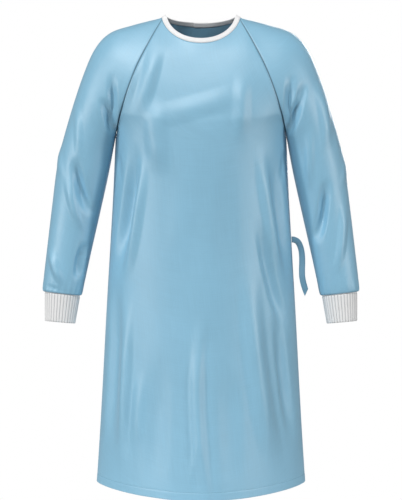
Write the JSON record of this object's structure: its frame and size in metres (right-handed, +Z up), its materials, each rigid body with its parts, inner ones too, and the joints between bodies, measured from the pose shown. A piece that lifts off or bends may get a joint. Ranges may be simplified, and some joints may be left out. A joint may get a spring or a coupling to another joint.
{
  "type": "surgical gown",
  "caption": "Long-sleeved surgical gown with raglan sleeves, a bound round neck, ribbed knit cuffs, a wrapped back and waist ties, in the hollow form it has when worn.",
  "frame": {"origin": "middle of the neck opening, level with the top of the neck binding at the shoulders, where the wearer's neck and shoulders hold the gown up", "axes": "+Z up; the gown faces -Y; +X is the wearer's left side"},
  "size_m": [0.782, 0.4012, 1.162],
  "materials": {
    "cloth": "fine plain weave with a soft sheen, light blue",
    "knit": "white rib knit, matt",
    "binding": "white woven tape, matt",
    "tie": "tape of the gown's own light blue cloth"
  },
  "bodies": {
    "root": {"front_panel": "cloth", "back_panel_lower": "cloth", "back_panel_upper": "cloth", "sleeve_left": "cloth", "sleeve_right": "cloth", "cuff_left": "knit", "cuff_right": "knit", "neck_binding": "binding", "side_tie": "tie", "back_tie": "tie"}
  },
  "joints": []
}
